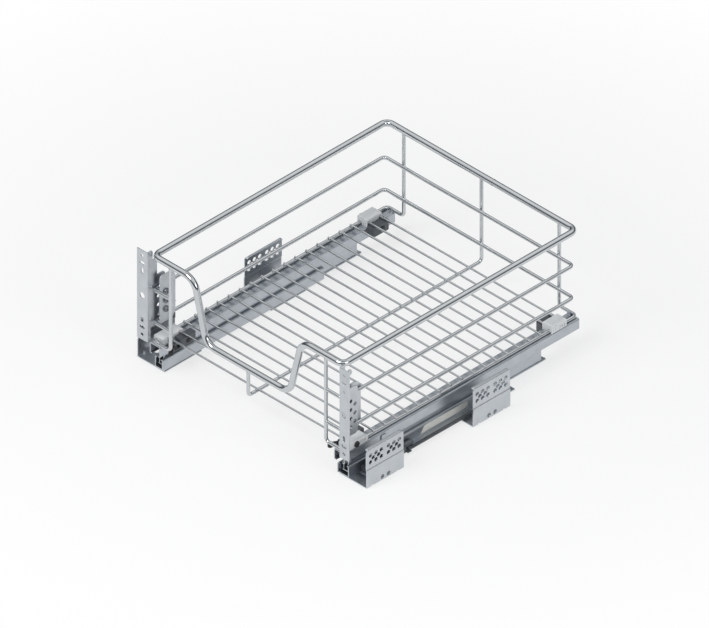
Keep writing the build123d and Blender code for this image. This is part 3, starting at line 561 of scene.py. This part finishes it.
def knurled_wheel():
    """One wheel with its face up, its back at nought and its axle below."""
    wheel = bmesh.new()
    edge_ring = bmesh.ops.create_circle(wheel, segments=2 * wheel_teeth, radius=wheel_radius)["verts"]
    bmesh.ops.contextual_create(wheel, geom=edge_ring)
    for corner in edge_ring[1::2]:
        corner.co *= tooth_foot
    face = wheel.faces[:][0]
    for step, share in ((wheel_thickness - wheel_chamfer, 1.0), (wheel_chamfer, face_share)):
        face = bmesh.ops.extrude_discrete_faces(wheel, faces=[face])["faces"][0]
        bmesh.ops.scale(wheel, verts=face.verts, vec=(share, share, 1))
        bmesh.ops.translate(wheel, verts=face.verts, vec=(0, 0, step))
    back_ring = [edge for edge in wheel.edges if edge.is_boundary]
    bmesh.ops.contextual_create(wheel, geom=back_ring)
    bmesh.ops.inset_individual(wheel, faces=[face], thickness=dish_margin, depth=-dish_depth)
    bmesh.ops.inset_individual(wheel, faces=[face], thickness=slot_margin)
    # The corners inside the margin move onto the outline of a slot
    for corner in face.verts:
        turn = math.atan2(corner.co.y, corner.co.x)
        corner.co.x = slot_half_length * math.cos(turn)
        corner.co.y = slot_half_width * max(-1, min(1, 2 * math.sin(turn)))
    sunk(wheel, face, slot_depth, slot_taper)
    behind = Matrix.Translation((0, 0, axle_overlap - axle_length / 2))
    bmesh.ops.create_cone(wheel, cap_ends=True, segments=16, radius1=axle_radius, radius2=axle_radius,
                          depth=axle_length, matrix=behind)
    return wheel


for side, sign in SIDES.items():
    wheel = knurled_wheel()
    seat = Matrix.Translation((sign * wheel_place[0], *wheel_place[1:]))
    face_outwards = Matrix.Rotation(sign * math.pi / 2, 4, "Y") @ Matrix.Rotation(slot_turn, 4, "Z")
    bmesh.ops.transform(wheel, matrix=seat @ face_outwards, verts=wheel.verts)
    bmesh.ops.recalc_face_normals(wheel, faces=wheel.faces)
    coat(black_nylon, f"side_wheel_{side}")
    knurled = as_piece(wheel, f"knurled_side_wheel_{side}", f"side_wheel_{side}",
                       black_nylon)
    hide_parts(f"side_wheel_{side}")


# Release levers
# Finger levers moulded from the same black nylon. Upright ribs round the tip keep
# the finger from slipping.
lever_tip = (143.5, 4.0, 39.0)
lever_tip_radius = 3.0
rib_radius = 0.5
rib_length = 4.6
rib_turns = [math.radians(165 + 24 * number) for number in range(6)]
for side, sign in SIDES.items():
    coat(black_nylon, f"release_lever_{side}")
    ribs = bmesh.new()
    for turn in rib_turns:
        x = sign * (lever_tip[0] + lever_tip_radius * math.cos(turn))
        y = lever_tip[1] + lever_tip_radius * math.sin(turn)
        bmesh.ops.create_cone(ribs, cap_ends=True, segments=10, radius1=rib_radius, radius2=rib_radius,
                              depth=rib_length, matrix=Matrix.Translation((x, y, lever_tip[2])))
    as_piece(ribs, f"lever_grip_ribs_{side}", f"release_lever_{side}", black_nylon)


# Soft closers
# In a dark acetal housing on the flange of each cabinet rail slides the catch with
# its ground rod. Behind it lies a smooth damper cylinder with crimped ends.
damper_axis = (178.8, 6.9)
damper_radius = 3.7
rod_start = 71.6
crimp_places = (76.0, 112.6)
crimp_radius = 0.3
crimp_sink = 0.1


def catch_and_rod():
    """Grey acetal at the catch, and ground steel on the rod behind it."""
    material, tree = empty_material("grey_acetal_and_ground_steel_rod")
    place = add(tree, "ShaderNodeTexCoord")
    along = add(tree, "ShaderNodeSeparateXYZ", {"Vector": place.outputs["Object"]})
    rod = add(tree, "ShaderNodeMath", {0: along.outputs["Y"], 1: rod_start * MM + rim_front},
              operation="GREATER_THAN").outputs[0]
    grains = mottle(tree, size=0.6, detail=3.0)
    acetal = add(tree, "ShaderNodeMix", {0: grains, 6: srgb("#7b7f83"), 7: srgb("#6f7377")},
                 data_type="RGBA")
    steel = add(tree, "ShaderNodeMix", {0: grains, 6: srgb("#c4c7ca"), 7: srgb("#b2b5b9")},
                data_type="RGBA")
    tone = add(tree, "ShaderNodeMix", {0: rod, 6: acetal.outputs[2], 7: steel.outputs[2]},
               data_type="RGBA")
    rough = add(tree, "ShaderNodeMapRange", {"Value": rod, "To Min": 0.4, "To Max": 0.18})
    shader = add(tree, "ShaderNodeBsdfPrincipled", {
        "Metallic": rod,
        "Base Color": tone.outputs[2],
        "Roughness": rough.outputs[0],
        "Normal": relief(tree, grains, depth=0.02, strength=0.4, edge=0.3),
    })
    add(tree, "ShaderNodeOutputMaterial", {"Surface": shader.outputs[0]})
    return material


def with_edges(corners):
    """The corners of a new ring and its edges, in the same order each run."""
    edges = dict.fromkeys(edge for corner in corners for edge in corner.link_edges)
    return [*corners, *edges]


smooth_acetal = moulded("smooth_damper_acetal", "#6d7277", "#5f6468",
                        smoothest=0.2, grain=1.0, depth=0.01, ior=1.48)
catch_finish = catch_and_rod()
for side, sign in SIDES.items():
    coat(dark_acetal, f"closer_housing_{side}")
    coat(smooth_acetal, f"damper_{side}")
    coat(catch_finish, f"catch_{side}")
    crimps = bmesh.new()
    for place in crimp_places:
        centre = Vector((sign * damper_axis[0], place, damper_axis[1]))
        on_top = centre + Vector((0, 0, damper_radius - crimp_sink))
        facing = Matrix.Translation(on_top) @ Matrix.Rotation(math.pi / 2, 4, "Y")
        ring = bmesh.ops.create_circle(crimps, segments=8, radius=crimp_radius, matrix=facing)["verts"]
        bmesh.ops.spin(crimps, geom=with_edges(ring), cent=centre, axis=(0, 1, 0), dvec=(0, 0, 0),
                       angle=2 * math.pi, steps=32, use_merge=True, use_duplicate=False)
    bmesh.ops.recalc_face_normals(crimps, faces=crimps.faces)
    as_piece(crimps, f"damper_crimps_{side}", "root", smooth_acetal)


# Closer springs
# Tension springs of drawn wire beside the dampers. They draw the catches home, and
# each hook is slipped over a headed post. Half a spring is wound and given its front
# hook, and the other half is the same, turned round.
spring_axis = (187.3, 5.8)
spring_front = 105.0                 # where the first turn starts
spring_length = 110.0
coil_radius = 2.05
spring_wire = 0.9
wire_sides = 8
turns_in_half = 35
steps_in_turn = 14
hook_offset = 1.25                   # of the hook's shank from the top of the coil
hook_bend = 1.9                      # radius of the hook
hook_shank = 2.5                     # from the first turn to the hook
hook_tip = 0.6                       # the straight end of the hook
meeting_gap = 0.05                   # nearer corners are joined where the halves meet


def corners_in(geometry):
    """The corners among what an operator made."""
    return [part for part in geometry if isinstance(part, bmesh.types.BMVert)]


def edges_in(geometry):
    """The edges among what an operator made."""
    return [part for part in geometry if isinstance(part, bmesh.types.BMEdge)]


def run_on(mesh, ring, along):
    """Draws the wire out straight from its open end, and returns the new end."""
    made = bmesh.ops.extrude_edge_only(mesh, edges=edges_in(ring))["geom"]
    bmesh.ops.translate(mesh, verts=corners_in(made), vec=along)
    return corners_in(made) + edges_in(made)


def turn_on(mesh, ring, centre, axis, angle, steps, advance=(0, 0, 0)):
    """Bends or winds the wire round an axis, and returns the new end."""
    made = bmesh.ops.spin(mesh, geom=ring, cent=centre, axis=axis, dvec=advance, angle=angle,
                          steps=steps, use_merge=False, use_duplicate=False)["geom_last"]
    return corners_in(made) + edges_in(made)


def copied(mesh):
    """Copies all that the mesh holds so far, and returns the corners of the copy."""
    everything = mesh.verts[:] + mesh.edges[:] + mesh.faces[:]
    return corners_in(bmesh.ops.duplicate(mesh, geom=everything)["geom"])


spring_finish = bright_steel("drawn_spring_wire", "#7f8286", "#66696d", smoothest=0.22)
coil_pitch = spring_length / (2 * turns_in_half)
turn_length = math.hypot(2 * math.pi * coil_radius, coil_pitch)
climb = math.asin(coil_pitch / turn_length)
lead_bend = hook_offset / (1 - math.sin(climb))
straight = hook_shank - lead_bend * math.cos(climb)
axis_x, axis_z = spring_axis
top = Vector((axis_x, spring_front, axis_z + coil_radius))
lead_centre = top + Vector((lead_bend * math.sin(climb), -lead_bend * math.cos(climb), 0))
hook_centre = lead_centre + Vector((hook_bend - lead_bend, -straight, 0))

coils = bmesh.new()
facing = Matrix.Translation(top) @ Matrix.Rotation(climb, 4, "Z") @ Matrix.Rotation(math.pi / 2, 4, "Y")
first = bmesh.ops.create_circle(coils, segments=wire_sides, radius=spring_wire / 2, matrix=facing)
first_ring = with_edges(first["verts"])
# The turns wind back to the middle, and the hook is drawn forwards from the same ring
turn_on(coils, first_ring, (axis_x, spring_front, axis_z), (0, 1, 0), 2 * math.pi * turns_in_half,
        steps=steps_in_turn * turns_in_half, advance=(0, coil_pitch / steps_in_turn, 0))
ring = turn_on(coils, first_ring, lead_centre, (0, 0, 1), math.pi / 2 - climb, steps=5)
ring = run_on(coils, ring, (0, -straight, 0))
ring = turn_on(coils, ring, hook_centre, (0, 0, 1), math.pi, steps=12)
ring = run_on(coils, ring, (0, hook_tip, 0))
bmesh.ops.contextual_create(coils, geom=edges_in(ring))
spring_middle = (axis_x, spring_front + spring_length / 2, axis_z)
bmesh.ops.rotate(coils, verts=copied(coils), cent=spring_middle, matrix=Matrix.Rotation(math.pi, 3, "Z"))
bmesh.ops.remove_doubles(coils, verts=coils.verts, dist=meeting_gap)
bmesh.ops.scale(coils, verts=copied(coils), vec=(-1, 1, 1))
bmesh.ops.recalc_face_normals(coils, faces=coils.faces)
coat(spring_finish, "closer_springs")
wound = as_piece(coils, "wound_closer_springs", "root", spring_finish,
                 crease=math.radians(60))
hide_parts("closer_springs")
